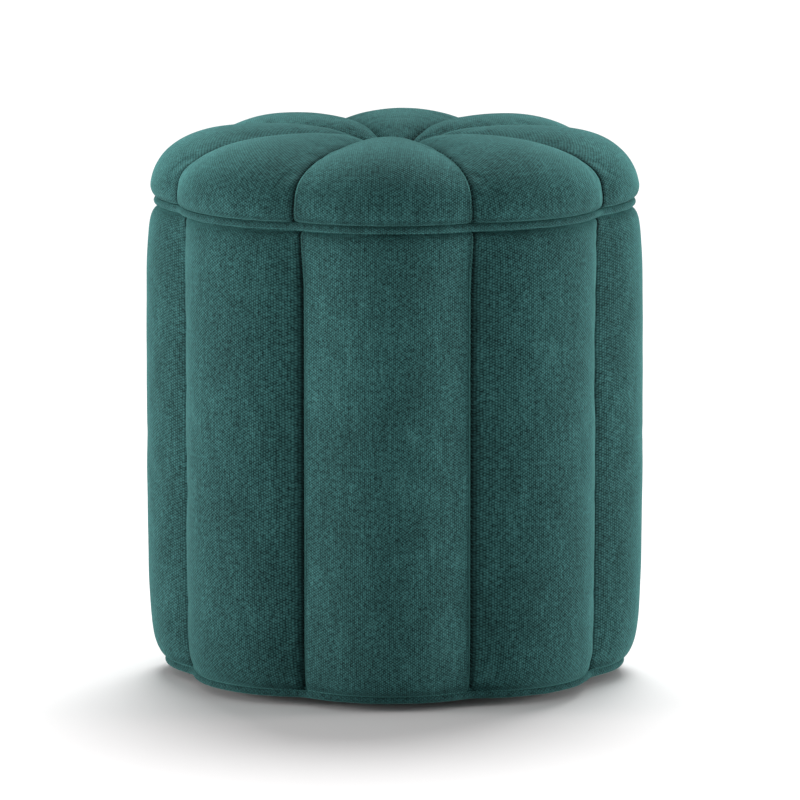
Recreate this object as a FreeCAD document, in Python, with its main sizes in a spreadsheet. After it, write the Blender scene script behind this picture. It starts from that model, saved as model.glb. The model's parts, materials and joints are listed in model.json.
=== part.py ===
"""Round storage ottoman with eight upholstered lobes and a loose, domed, petal-shaped lid.

Millimetres, +Z up. The origin is on the floor under the middle of the drum, and the middle of
one lobe faces -Y. Lobes, posts and petals are numbered from that one, anticlockwise from above.
"""
import FreeCAD
import Part
import Sketcher
import math
import os

from FreeCAD import Vector

OUT = "parts"

doc = FreeCAD.newDocument("StorageOttoman")

# ---------------------------------------------------------------------------------------------
# Driving dimensions
# ---------------------------------------------------------------------------------------------
SIZES = [
    ("lobe_count", 8, "channels round the drum, and petals on the lid"),
    ("overall_height", 454, "floor to the crest of the lid's petals"),
    ("crest_radius", 202.5, "drum centre to the outermost fabric of a lobe"),
    ("valley_depth", 25.5, "how far the valleys between lobes lie inside the crests"),
    ("valley_padding", 25, "foam between the drum wall and the fabric in a valley"),
    ("cover_thickness", 2, "upholstery fabric with its backing"),
    ("low_tuck", 13, "how far a lobe draws in at its lower edge"),
    ("low_rise", 58, "height over which the lower edge draws in"),
    ("base_valley_depth", 14.5, "how far the base's edge swings in between lobes"),
    ("high_tuck", 10, "how far a lobe rolls over the rim"),
    ("high_rise", 17, "height over which the lobe rolls over the rim"),
    ("glide_height", 7, "floor to the underside of the base board"),
    ("glide_radius", 13, "nylon glide"),
    ("glide_circle", 115, "drum centre to a glide's centre"),
    ("glide_count", 4, "glides under the base board"),
    ("nail_radius", 1.2, "nail of a glide"),
    ("nail_reach", 9, "length of the nail inside the base board"),
    ("base_thickness", 12, "base board"),
    ("base_piping_radius", 3, "covered cord along the lower edge"),
    ("wall_thickness", 4, "bent fibreboard wall of the drum"),
    ("liner_thickness", 1.5, "grey lining inside the drum"),
    ("floor_thickness", 4, "covered panel on the storage floor"),
    ("floor_gap", 0.3, "free play of the floor panel inside the lining"),
    ("ring_thickness", 15, "top ring"),
    ("ring_setback", 4, "foam lip outside the ring's edge"),
    ("rim_thickness", 1.5, "fabric turned over the top ring"),
    ("post_depth", 20, "radial size of an upright post"),
    ("post_width", 40, "tangential size of an upright post"),
    ("screw_radius", 2, "wood screw shank"),
    ("screw_head_radius", 4, "countersunk head"),
    ("screw_head_height", 3, "countersunk head"),
    ("frame_screw_length", 35, "screws that hold the boards to the posts"),
    ("disc_screw_length", 18, "screws that hold the locating disc to the lid board"),
    ("disc_screw_count", 6, "screws in the locating disc"),
    ("disc_screw_circle", 100, "lid centre to a screw in the locating disc"),
    ("hem_thickness", 1, "fabric turned under a board"),
    ("hem_width", 18, "least width of fabric turned under the base board"),
    ("dust_thickness", 0.8, "black cloth under the base"),
    ("trim_gap", 0.2, "room between a board's edge and the covered cord round it"),
    ("seat_gap", 0.3, "room between the rim and the closed lid"),
    ("lid_inset", 3, "how far the petals stand inside the lobes below"),
    ("petal_valley_depth", 12.5, "how far the lid's edge swings in between petals"),
    ("lid_thickness", 12, "lid board"),
    ("lid_piping_radius", 3.5, "covered cord along the lid's lower edge"),
    ("lid_tuck", 2, "how far a petal draws in at the covered cord"),
    ("petal_waist", 18, "lid board's underside to the petal's widest level"),
    ("petal_shoulder", 60, "radial size of the petal's rounded outer shoulder"),
    ("cushion_rise", 53, "lid board's top to the crest of the foam"),
    ("petal_dip", 10, "how far the valleys between petals lie under the crests"),
    ("dimple_depth", 27, "crest to the sunk middle of the lid"),
    ("disc_thickness", 9, "locating disc under the lid"),
    ("disc_gap", 4, "room between the locating disc and the lining of the drum"),
    ("lining_thickness", 1, "cloth round the locating disc"),
    ("button_radius", 12, "covered button in the middle of the lid"),
    ("button_height", 7, "covered button"),
    ("twine_radius", 0.8, "twine that pulls the button down"),
    ("twine_hole_radius", 4, "hole for the twine through foam and board"),
    ("washer_radius", 11, "washer that the twine is tied to"),
    ("washer_thickness", 2.5, "washer that the twine is tied to"),
    ("washer_room", 3, "room round the washer in the locating disc"),
]

sheet = doc.addObject("Spreadsheet::Sheet", "Sizes")
for row, (alias, number, note) in enumerate(SIZES, start=1):
    sheet.set(f"A{row}", alias)
    sheet.set(f"B{row}", str(number))
    sheet.set(f"C{row}", note)
    sheet.setAlias(f"B{row}", alias)
doc.recompute()

# ---------------------------------------------------------------------------------------------
# Sizes and levels that follow from the driving dimensions
# ---------------------------------------------------------------------------------------------
def scallop_offset(crest, valley):
    """Distance from the drum's axis to the middle of a scallop's arc.

    A scallop is an arc about its own upright axis, and it meets its neighbours in the valleys,
    so its middle follows from how far out the crests and the valleys lie.
    """
    return f"(({crest}) ^ 2 - ({valley}) ^ 2) / (2 * ({crest} - ({valley}) * cos(Fit.half_angle)))"


FITS = [
    ("half_angle", "180 / Sizes.lobe_count"),
    ("valley_radius", "Sizes.crest_radius - Sizes.valley_depth"),
    ("lobe_offset", scallop_offset("Sizes.crest_radius", "Fit.valley_radius")),
    ("lobe_radius", "Sizes.crest_radius - Fit.lobe_offset"),
    ("base_crest", "Sizes.crest_radius - Sizes.low_tuck"),
    ("base_offset", scallop_offset("Fit.base_crest", "Fit.base_crest - Sizes.base_valley_depth")),
    ("base_radius", "Fit.base_crest - Fit.base_offset"),
    ("petal_crest", "Sizes.crest_radius - Sizes.lid_inset"),
    ("petal_offset", scallop_offset("Fit.petal_crest",
                                    "Fit.petal_crest - Sizes.petal_valley_depth")),
    ("petal_radius", "Fit.petal_crest - Fit.petal_offset"),
    ("wall_outer", "Fit.valley_radius - Sizes.cover_thickness - Sizes.valley_padding"),
    ("wall_inner", "Fit.wall_outer - Sizes.wall_thickness"),
    ("liner_inner", "Fit.wall_inner - Sizes.liner_thickness"),
    ("post_centre", "Fit.wall_outer + Sizes.post_depth / 2"),
    ("base_top", "Sizes.glide_height + Sizes.base_thickness"),
    ("base_trim", "Fit.base_radius - Sizes.base_piping_radius"),
    ("base_scallop", "Fit.base_trim - Sizes.base_piping_radius - Sizes.trim_gap"),
    ("trim_top", "Sizes.glide_height + 2 * Sizes.base_piping_radius"),
    ("foam_crest", "Sizes.overall_height - Sizes.cover_thickness"),
    ("lid_top", "Fit.foam_crest - Sizes.cushion_rise"),
    ("lid_low", "Fit.lid_top - Sizes.lid_thickness"),
    ("rim_top", "Fit.lid_low - Sizes.hem_thickness - Sizes.seat_gap"),
    ("ring_top", "Fit.rim_top - Sizes.rim_thickness"),
    ("ring_low", "Fit.ring_top - Sizes.ring_thickness"),
    ("rim_scallop", "Fit.lobe_radius - Sizes.cover_thickness - Sizes.high_tuck"),
    ("ring_scallop", "Fit.rim_scallop - Sizes.ring_setback"),
    ("petal_low", "Fit.lid_low + 2 * Sizes.lid_piping_radius"),
    ("lid_trim", "Fit.petal_radius - Sizes.lid_tuck - Sizes.lid_piping_radius"),
    ("lid_scallop", "Fit.lid_trim - Sizes.lid_piping_radius - Sizes.trim_gap"),
    ("dimple_level", "Sizes.overall_height - Sizes.dimple_depth"),
    ("lining_outer", "Fit.liner_inner - Sizes.disc_gap"),
    ("disc_radius", "Fit.lining_outer - Sizes.lining_thickness"),
    ("disc_low", "Fit.lid_low - Sizes.disc_thickness"),
]

fit = doc.addObject("App::VarSet", "Fit")
for name, formula in FITS:
    fit.addProperty("App::PropertyFloat", name)
    fit.setExpression(name, formula)
    doc.recompute()


def value(formula):
    """The number that an expression gives with the present sizes."""
    result = fit.evalExpression(str(formula))
    return float(getattr(result, "Value", result))


LOBES = int(value("Sizes.lobe_count"))
FRONT = -90.0


# ---------------------------------------------------------------------------------------------
# Helpers for bodies, sketches and features
# ---------------------------------------------------------------------------------------------
pieces = []


def turned(number, count=LOBES, start=FRONT):
    """The placement of repeat number 0, 1, ... about the drum's axis."""
    angle = start + 360.0 * number / count
    return FreeCAD.Placement(Vector(0, 0, 0), FreeCAD.Rotation(Vector(0, 0, 1), angle))


def new_body(label):
    body = doc.addObject("PartDesign::Body", label)
    body.Label = label
    body.AllowCompound = True
    pieces.append(body)
    return body


def origin_feature(body, role):
    return next(f for f in body.Origin.OriginFeatures if f.Role == role)


def new_sketch(body, name, plane, level=None):
    sketch = body.newObject("Sketcher::SketchObject", name)
    sketch.AttachmentSupport = [(origin_feature(body, plane), "")]
    sketch.MapMode = "FlatFace"
    if level is not None:
        sketch.setExpression("AttachmentOffset.Base.z", level)
    return sketch


def put(sketch, geometry, point, x, y):
    """Holds one point of a sketch at the expressions x and y."""
    for kind, formula, axis in (("DistanceX", x, -2), ("DistanceY", y, -1)):
        number = value(formula)
        if abs(number) < 1e-9:
            sketch.addConstraint(Sketcher.Constraint("PointOnObject", geometry, point, axis))
        else:
            held = Sketcher.Constraint(kind, -1, 1, geometry, point, number)
            index = sketch.addConstraint(held)
            sketch.setExpression(f"Constraints[{index}]", str(formula))


def circle(sketch, x, radius, y="0"):
    centre = Vector(value(x), value(y), 0)
    drawn = sketch.addGeometry(Part.Circle(centre, Vector(0, 0, 1), value(radius)), False)
    put(sketch, drawn, 3, x, y)
    index = sketch.addConstraint(Sketcher.Constraint("Radius", drawn, value(radius)))
    sketch.setExpression(f"Constraints[{index}]", str(radius))


def outline(sketch, corners, upright=None):
    """Closes a profile through corners, anticlockwise.

    upright names the edges that are arcs: edge number -> 1 or 2, the end where the arc runs
    straight up.
    """
    upright = upright or {}
    points = [Vector(value(x), value(y), 0) for x, y in corners]
    first = sketch.GeometryCount
    for number, start in enumerate(points):
        end = points[(number + 1) % len(points)]
        if number in upright:
            level, other = (start, end) if upright[number] == 1 else (end, start)
            reach = abs(level.x - other.x)
            radius = (reach ** 2 + (level.y - other.y) ** 2) / (2 * reach)
            centre = Vector(level.x - radius, level.y, 0)
            angles = [math.atan2(p.y - centre.y, p.x - centre.x) for p in (start, end)]
            base = Part.Circle(centre, Vector(0, 0, 1), radius)
            edge = sketch.addGeometry(Part.ArcOfCircle(base, *angles), False)
            same = Sketcher.Constraint("Horizontal", edge, 3, edge, upright[number])
            sketch.addConstraint(same)
        else:
            sketch.addGeometry(Part.LineSegment(start, end), False)
    for number, (x, y) in enumerate(corners):
        before = first + (number - 1) % len(corners)
        here = first + number
        sketch.addConstraint(Sketcher.Constraint("Coincident", before, 2, here, 1))
        put(sketch, here, 1, x, y)


def axis_line(sketch, x):
    """A construction line that a revolution turns about, drawn first in its sketch."""
    low, high = Vector(value(x), 0, 0), Vector(value(x), value("Sizes.overall_height"), 0)
    line = sketch.addGeometry(Part.LineSegment(low, high), True)
    put(sketch, line, 1, x, "0")
    put(sketch, line, 2, x, "Sizes.overall_height")


def pad(body, sketch, length):
    feature = body.newObject("PartDesign::Pad", "Pad")
    feature.Profile = sketch
    feature.setExpression("Length", str(length))
    return feature


def pocket(body, sketch, length, upward=True):
    """Cuts from the sketch upward or downward, and makes sure that it took something away."""
    doc.recompute()
    before = body.Tip.Shape.Volume
    feature = body.newObject("PartDesign::Pocket", "Pocket")
    feature.Profile = sketch
    feature.Reversed = upward
    feature.setExpression("Length", str(length))
    doc.recompute()
    if not feature.Shape.Volume < before:
        raise RuntimeError(f"a pocket of {body.Label} cuts nothing")
    return feature


def turn(body, sketch, cut=False, axis="V_Axis"):
    """Revolves a sketch a full turn, to add or to cut."""
    doc.recompute()
    before = body.Tip.Shape.Volume if cut else 0
    kind = "PartDesign::Groove" if cut else "PartDesign::Revolution"
    feature = body.newObject(kind, "Turned")
    feature.Profile = sketch
    feature.ReferenceAxis = (sketch, [axis])
    feature.Angle = 360
    if cut:
        doc.recompute()
        if not feature.Shape.Volume < before:
            raise RuntimeError(f"a groove of {body.Label} cuts nothing")
    return feature


def repeat(body, feature, count="Sizes.lobe_count"):
    doc.recompute()
    pattern = body.newObject("PartDesign::PolarPattern", "Round")
    pattern.Originals = [feature]
    pattern.Axis = (origin_feature(body, "Z_Axis"), [""])
    pattern.Angle = 360
    pattern.setExpression("Occurrences", count)
    body.Tip = pattern
    return pattern


def scalloped_plate(body, offset, scallop, low, thickness):
    """A plate whose edge is a ring of scallops, filled up by a core disc."""
    middle = new_sketch(body, "Core", "XY_Plane", low)
    circle(middle, "0", "Fit.wall_outer")
    pad(body, middle, thickness)
    lobe = new_sketch(body, "Lobe", "XY_Plane", low)
    circle(lobe, offset, scallop)
    repeat(body, pad(body, lobe, thickness))


def round_cut(body, radius, low, height, x="0"):
    """A round hole from the level low, up through height."""
    sketch = new_sketch(body, "Hole", "XY_Plane", low)
    circle(sketch, x, radius)
    return pocket(body, sketch, height)


def lobe_corners(inset, low, high, open_top=None):
    """The upright profile of a lobe, inset from the fabric's outside, about the lobe's axis."""
    axis = "Fit.lobe_offset"
    side = f"{axis} + Fit.lobe_radius - {inset}"
    corners = [
        (axis, low),
        (f"{side} - Sizes.low_tuck", low),
        (side, f"{low} + Sizes.low_rise"),
        (side, f"{high} - Sizes.high_rise"),
        (f"{side} - Sizes.high_tuck", high),
    ]
    if open_top is None:
        corners.append((axis, high))
    else:
        corners += [(f"{side} - Sizes.high_tuck", open_top), (axis, open_top)]
    return corners


def turned_lobe(body, corners, cut=False):
    sketch = new_sketch(body, "Profile", "XZ_Plane")
    axis_line(sketch, "Fit.lobe_offset")
    outline(sketch, corners, upright={1: 2, 3: 1})
    return turn(body, sketch, cut, "Axis0")


def keep_sector(body):
    """Cuts a body back to its own sector, between the two valley planes."""
    far = "2 * Sizes.crest_radius"
    along = f"{far} * cos(Fit.half_angle)"
    across = f"{far} * sin(Fit.half_angle)"
    sketch = new_sketch(body, "Sector", "XY_Plane")
    outline(sketch, [
        ("0", "0"), (along, across), (along, far), (f"-{far}", far),
        (f"-{far}", f"-{far}"), (along, f"-{far}"), (along, f"-{across}"),
    ])
    pocket(body, sketch, "Sizes.overall_height")


def screw_corners(x, head, point, length):
    """A countersunk screw's profile: head and point are expressions, point is +1 or -1 in z."""
    shank = f"{x} + Sizes.screw_radius"
    rim = f"{x} + Sizes.screw_head_radius"
    neck = f"{head} + {point} * Sizes.screw_head_height"
    tip = f"{head} + {point} * {length}"
    corners = [(x, head), (rim, head), (shank, neck), (shank, tip), (x, tip)]
    return corners if point > 0 else corners[::-1]


def screw_shape(body, x, head, point, length, count, cut=False):
    """Screws, or their holes, in a circle round the drum's axis."""
    sketch = new_sketch(body, "Screw", "XZ_Plane")
    axis_line(sketch, x)
    outline(sketch, screw_corners(x, head, point, length))
    return repeat(body, turn(body, sketch, cut, "Axis0"), count)


def covered_cord(label, offset, scallop, cord_radius, level):
    """A covered cord that runs round a scalloped edge, its middle on the scallops' arcs."""
    body = new_body(label)
    sketch = new_sketch(body, "Section", "XZ_Plane")
    axis_line(sketch, offset)
    circle(sketch, f"{offset} + {scallop}", cord_radius, level)
    ring = turn(body, sketch, axis="Axis0")
    # The cord turns back where its middle line reaches the valley plane.
    ring.setExpression("Angle", f"2 * (90 deg + Fit.half_angle * 1 deg"
                                f" - acos({offset} * sin(Fit.half_angle) / {scallop}))")
    ring.Midplane = True
    repeat(body, ring)
    return body


# ---------------------------------------------------------------------------------------------
# Drum
# ---------------------------------------------------------------------------------------------
def make_base_board():
    body = new_body("base_board")
    scalloped_plate(body, "Fit.base_offset", "Fit.base_scallop", "Sizes.glide_height",
                    "Sizes.base_thickness")
    screw_shape(body, "Fit.post_centre", "Sizes.glide_height", 1, "Sizes.frame_screw_length",
                "Sizes.lobe_count", cut=True)
    nail = new_sketch(body, "NailHole", "XY_Plane", "Sizes.glide_height")
    circle(nail, "Sizes.glide_circle", "Sizes.nail_radius")
    hole = pocket(body, nail, "Sizes.nail_reach")
    repeat(body, hole, "Sizes.glide_count")


def make_ring(label, inner, outer, low, height):
    """A plain round wall."""
    body = new_body(label)
    sketch = new_sketch(body, "Wall", "XY_Plane", low)
    circle(sketch, "0", outer)
    circle(sketch, "0", inner)
    pad(body, sketch, height)
    return body


def make_top_ring():
    body = new_body("top_ring")
    scalloped_plate(body, "Fit.lobe_offset", "Fit.ring_scallop", "Fit.ring_low",
                    "Sizes.ring_thickness")
    round_cut(body, "Fit.wall_inner", "Fit.ring_low", "Sizes.ring_thickness")
    screw_shape(body, "Fit.post_centre", "Fit.ring_top", -1, "Sizes.frame_screw_length",
                "Sizes.lobe_count", cut=True)


def post_rectangle(body, inner):
    sketch = new_sketch(body, "Section", "XY_Plane", "Fit.base_top")
    half = "Sizes.post_width / 2"
    outer = "Fit.wall_outer + Sizes.post_depth"
    outline(sketch, [(inner, f"-{half}"), (outer, f"-{half}"), (outer, half), (inner, half)])
    return sketch


def make_post(number):
    body = new_body(f"post_{number + 1}")
    pad(body, post_rectangle(body, "Fit.wall_outer"), "Fit.ring_low - Fit.base_top")
    grip = "Sizes.frame_screw_length - Sizes.base_thickness"
    round_cut(body, "Sizes.screw_radius", "Fit.base_top", grip, "Fit.post_centre")
    grip = "(Sizes.frame_screw_length - Sizes.ring_thickness)"
    round_cut(body, "Sizes.screw_radius", f"Fit.ring_low - {grip}", grip, "Fit.post_centre")
    body.Placement = turned(number)


def make_side_pad(number):
    """A foam channel: it hugs the drum wall and its post, and laps over the top ring's edge."""
    body = new_body(f"side_pad_{number + 1}")
    turned_lobe(body, lobe_corners("Sizes.cover_thickness", "Fit.base_top", "Fit.ring_top"))
    keep_sector(body)
    round_cut(body, "Fit.wall_outer", "0", "Fit.ring_top")
    round_cut(body, "Fit.ring_scallop", "Fit.ring_low", "Sizes.ring_thickness",
              "Fit.lobe_offset")
    pocket(body, post_rectangle(body, "Fit.wall_inner"), "Fit.ring_low - Fit.base_top")
    body.Placement = turned(number)


def make_side_panel(number):
    """The fabric over one foam channel."""
    body = new_body(f"side_panel_{number + 1}")
    turned_lobe(body, lobe_corners("0", "Fit.base_top", "Fit.rim_top"))
    turned_lobe(body, lobe_corners("Sizes.cover_thickness", "Fit.base_top", "Fit.ring_top",
                                   "Fit.rim_top + Sizes.cover_thickness"), cut=True)
    keep_sector(body)
    round_cut(body, "Fit.wall_outer", "0", "Sizes.overall_height")
    body.Placement = turned(number)


def make_rim_band():
    body = new_body("rim_band")
    scalloped_plate(body, "Fit.lobe_offset", "Fit.rim_scallop", "Fit.ring_top",
                    "Sizes.rim_thickness")
    round_cut(body, "Fit.liner_inner", "Fit.ring_top", "Sizes.rim_thickness")


def make_disc(label, radius, low, thickness):
    body = new_body(label)
    sketch = new_sketch(body, "Disc", "XY_Plane", low)
    circle(sketch, "0", radius)
    pad(body, sketch, thickness)
    return body


def make_base_hem():
    """Fabric turned under the base board and stapled."""
    body = new_body("base_hem")
    low = "Sizes.glide_height - Sizes.hem_thickness"
    scalloped_plate(body, "Fit.base_offset", "Fit.base_scallop", low, "Sizes.hem_thickness")
    round_cut(body, "Fit.wall_outer - Sizes.hem_width", low, "Sizes.hem_thickness")


def make_base_band():
    """Fabric round the base board's edge, between the covered cord and the lobes."""
    body = new_body("base_band")
    height = "Fit.base_top - Fit.trim_top"
    scalloped_plate(body, "Fit.base_offset", "Fit.base_scallop + Sizes.cover_thickness",
                    "Fit.trim_top", height)
    round_cut(body, "Fit.wall_outer", "Fit.trim_top", height)
    hollow = new_sketch(body, "Board", "XY_Plane", "Fit.trim_top")
    circle(hollow, "Fit.base_offset", "Fit.base_scallop")
    repeat(body, pocket(body, hollow, height))


def make_dust_cover():
    low = "Sizes.glide_height - Sizes.hem_thickness - Sizes.dust_thickness"
    body = make_disc("dust_cover", "Fit.wall_outer", low, "Sizes.dust_thickness")
    hole = round_cut(body, "Sizes.glide_radius + Sizes.trim_gap", low, "Sizes.dust_thickness",
                     "Sizes.glide_circle")
    repeat(body, hole, "Sizes.glide_count")


def make_glide(number):
    body = new_body(f"glide_{number + 1}")
    sketch = new_sketch(body, "Disc", "XY_Plane")
    circle(sketch, "Sizes.glide_circle", "Sizes.glide_radius")
    pad(body, sketch, "Sizes.glide_height")
    round_cut(body, "Sizes.nail_radius", "Sizes.glide_height / 2", "Sizes.glide_height / 2",
              "Sizes.glide_circle")
    body.Placement = turned(number, int(value("Sizes.glide_count")), 0.0)


def make_glide_nails():
    body = new_body("glide_nails")
    sketch = new_sketch(body, "Nail", "XY_Plane", "Sizes.glide_height / 2")
    circle(sketch, "Sizes.glide_circle", "Sizes.nail_radius")
    shank = pad(body, sketch, "Sizes.glide_height / 2 + Sizes.nail_reach")
    repeat(body, shank, "Sizes.glide_count")


def make_frame_screws():
    lower = new_body("base_screws")
    screw_shape(lower, "Fit.post_centre", "Sizes.glide_height", 1, "Sizes.frame_screw_length",
                "Sizes.lobe_count")
    upper = new_body("ring_screws")
    screw_shape(upper, "Fit.post_centre", "Fit.ring_top", -1, "Sizes.frame_screw_length",
                "Sizes.lobe_count")


# ---------------------------------------------------------------------------------------------
# Lid
# ---------------------------------------------------------------------------------------------
def make_lid_board():
    body = new_body("lid_board")
    scalloped_plate(body, "Fit.petal_offset", "Fit.lid_scallop", "Fit.lid_low",
                    "Sizes.lid_thickness")
    round_cut(body, "Sizes.twine_hole_radius", "Fit.lid_low", "Sizes.lid_thickness")
    screw_shape(body, "Sizes.disc_screw_circle", "Fit.disc_low", 1, "Sizes.disc_screw_length",
                "Sizes.disc_screw_count", cut=True)


def make_lid_hem():
    """Fabric turned under the lid board, round the locating disc."""
    body = new_body("lid_hem")
    low = "Fit.lid_low - Sizes.hem_thickness"
    scalloped_plate(body, "Fit.petal_offset", "Fit.lid_scallop", low, "Sizes.hem_thickness")
    round_cut(body, "Fit.lining_outer", low, "Sizes.hem_thickness")


def make_locating_disc():
    body = make_disc("locating_disc", "Fit.disc_radius", "Fit.disc_low", "Sizes.disc_thickness")
    round_cut(body, "Sizes.washer_radius + Sizes.washer_room", "Fit.disc_low",
              "Sizes.disc_thickness")
    screw_shape(body, "Sizes.disc_screw_circle", "Fit.disc_low", 1, "Sizes.disc_screw_length",
                "Sizes.disc_screw_count", cut=True)


def make_disc_lining():
    low = "Fit.disc_low - Sizes.lining_thickness"
    body = make_disc("disc_lining", "Fit.lining_outer", low,
                     "Sizes.disc_thickness + Sizes.lining_thickness")
    round_cut(body, "Fit.disc_radius", "Fit.disc_low", "Sizes.disc_thickness")


def make_disc_screws():
    body = new_body("disc_screws")
    screw_shape(body, "Sizes.disc_screw_circle", "Fit.disc_low", 1, "Sizes.disc_screw_length",
                "Sizes.disc_screw_count")


def make_tuft():
    """The covered button, its twine and the washer under the board that the twine is tied to."""
    button = new_body("tuft_button")
    sketch = new_sketch(button, "Profile", "XZ_Plane")
    edge = "Fit.dimple_level + Sizes.button_height / 3"
    top = "Fit.dimple_level + Sizes.button_height"
    outline(sketch, [("0", "Fit.dimple_level"), ("Sizes.button_radius", "Fit.dimple_level"),
                     ("Sizes.button_radius", edge), ("Sizes.button_radius / 2", top),
                     ("0", top)], upright={2: 1})
    turn(button, sketch)
    washer_low = "Fit.lid_low - Sizes.washer_thickness"
    washer = make_disc("tuft_washer", "Sizes.washer_radius", washer_low,
                       "Sizes.washer_thickness")
    round_cut(washer, "Sizes.twine_radius", washer_low, "Sizes.washer_thickness")
    make_disc("tuft_twine", "Sizes.twine_radius", washer_low,
              f"Fit.dimple_level - ({washer_low})")


def petal_reach(angle, radius):
    """Distance from the lid's middle to a petal's arc of this radius, at an angle off its middle."""
    offset = value("Fit.petal_offset")
    across = offset * math.sin(angle)
    return offset * math.cos(angle) + math.sqrt(radius ** 2 - across ** 2)


def petal_section(angle, inset, low):
    """The petal's outline in the upright plane at an angle off its middle, inset from the fabric.

    From the button's seat the top climbs to the crest, runs out level, rounds over the shoulder
    to the waist and draws in to the covered cord. Valleys lie lower and nearer in than crests.
    """
    share = angle / math.radians(value("Fit.half_angle"))
    dip = value("Sizes.petal_dip") * share ** 2
    top = value("Sizes.overall_height") - dip - inset
    seat = value("Fit.dimple_level") - inset
    waist = value("Fit.lid_low + Sizes.petal_waist")
    edge = petal_reach(angle, value("Fit.petal_radius") - inset)
    shoulder = value("Sizes.petal_shoulder")
    hole = value("Sizes.twine_hole_radius")
    button = value("Sizes.button_radius") + 1
    drop = top - waist
    curve = [
        (button, seat),
        (button + (edge - shoulder - button) * 0.3, seat + (top - seat) * 0.83),
        (edge - shoulder * 1.35, top),
        (edge - shoulder * 0.72, top - drop * 0.05),
        (edge - shoulder * (1 - math.sqrt(0.5)), top - drop * (1 - math.sqrt(0.5))),
        (edge, waist),
        (edge - value("Sizes.lid_tuck"), low),
    ]

    def at(radius, level):
        return Vector(radius * math.cos(angle), radius * math.sin(angle), level)

    spline = Part.BSplineCurve()
    spline.interpolate([at(*point) for point in curve])
    corners = [at(*curve[-1]), at(hole, low), at(hole, seat), at(button, seat)]
    lines = [Part.makeLine(a, b) for a, b in zip(corners, corners[1:])]
    return Part.Wire([spline.toShape()] + lines)


def petal_solid(inset, low):
    """One petal from valley to valley, lofted through upright sections."""
    steps = 8
    half = math.radians(value("Fit.half_angle"))
    angles = [half * (2.0 * step / steps - 1.0) for step in range(steps + 1)]
    return Part.makeLoft([petal_section(angle, inset, low) for angle in angles], True, False)


def make_petals():
    """The eight fabric panels of the lid, and the foam under them in one piece."""
    low = value("Fit.petal_low")
    board = value("Fit.lid_top")
    inner = petal_solid(value("Sizes.cover_thickness"), low)
    shell = petal_solid(0.0, low).cut(inner)
    size = value("Sizes.crest_radius")
    above = Part.makeBox(2 * size, 2 * size, size, Vector(-size, -size, board))
    wedge = inner.common(above)
    wedges = []
    for number in range(LOBES):
        panel = doc.addObject("Part::Feature", f"lid_panel_{number + 1}")
        panel.Label = f"lid_panel_{number + 1}"
        panel.Shape = shell
        panel.Placement = turned(number)
        pieces.append(panel)
        part = wedge.copy()
        part.Placement = turned(number)
        wedges.append(part)
    foam = doc.addObject("Part::Feature", "lid_foam")
    foam.Label = "lid_foam"
    foam.Shape = wedges[0].multiFuse(wedges[1:])
    pieces.append(foam)


# ---------------------------------------------------------------------------------------------
# Build, check and write
# ---------------------------------------------------------------------------------------------
def build():
    make_base_board()
    make_ring("drum_wall", "Fit.wall_inner", "Fit.wall_outer", "Fit.base_top",
              "Fit.ring_low - Fit.base_top")
    make_top_ring()
    for number in range(LOBES):
        make_post(number)
        make_side_pad(number)
        make_side_panel(number)
    make_rim_band()
    make_ring("liner", "Fit.liner_inner", "Fit.wall_inner", "Fit.base_top",
              "Fit.ring_top - Fit.base_top")
    make_disc("floor_panel", "Fit.liner_inner - Sizes.floor_gap", "Fit.base_top",
              "Sizes.floor_thickness")
    covered_cord("base_piping", "Fit.base_offset", "Fit.base_trim", "Sizes.base_piping_radius",
                 "Sizes.glide_height + Sizes.base_piping_radius")
    make_base_hem()
    make_base_band()
    make_dust_cover()
    for number in range(int(value("Sizes.glide_count"))):
        make_glide(number)
    make_glide_nails()
    make_frame_screws()
    make_lid_board()
    make_lid_hem()
    make_locating_disc()
    make_disc_lining()
    make_disc_screws()
    make_tuft()
    make_petals()
    covered_cord("lid_piping", "Fit.petal_offset", "Fit.lid_trim", "Sizes.lid_piping_radius",
                 "Fit.lid_low + Sizes.lid_piping_radius")
    doc.recompute()


def check():
    for thing in doc.Objects:
        if "Invalid" in thing.State or "Error" in thing.State:
            owner = thing.getParentGeoFeatureGroup()
            raise RuntimeError(f"{owner and owner.Label}: {thing.Label} is {thing.State}")
    for piece in pieces:
        if piece.Shape.isNull() or not piece.Shape.isValid() or not piece.Shape.Solids:
            raise RuntimeError(f"{piece.Label} has no sound shape")


def write():
    os.makedirs(OUT, exist_ok=True)
    for piece in pieces:
        piece.Shape.exportStep(os.path.join(OUT, piece.Label + ".step"))
        solids = len(piece.Shape.Solids)
        print(f"{piece.Label}: {solids} solid(s), {piece.Shape.Volume / 1000:.1f} cm3")


build()
check()
write()
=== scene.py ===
"""Round storage ottoman: eight padded lobes round a drum, and a loose domed lid of eight petals.

Metres, +Z up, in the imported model's own frame. The middle of the first lobe faces -Y.
"""
import json
import math

import bmesh
import bpy
from mathutils import Matrix, Vector, noise


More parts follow.
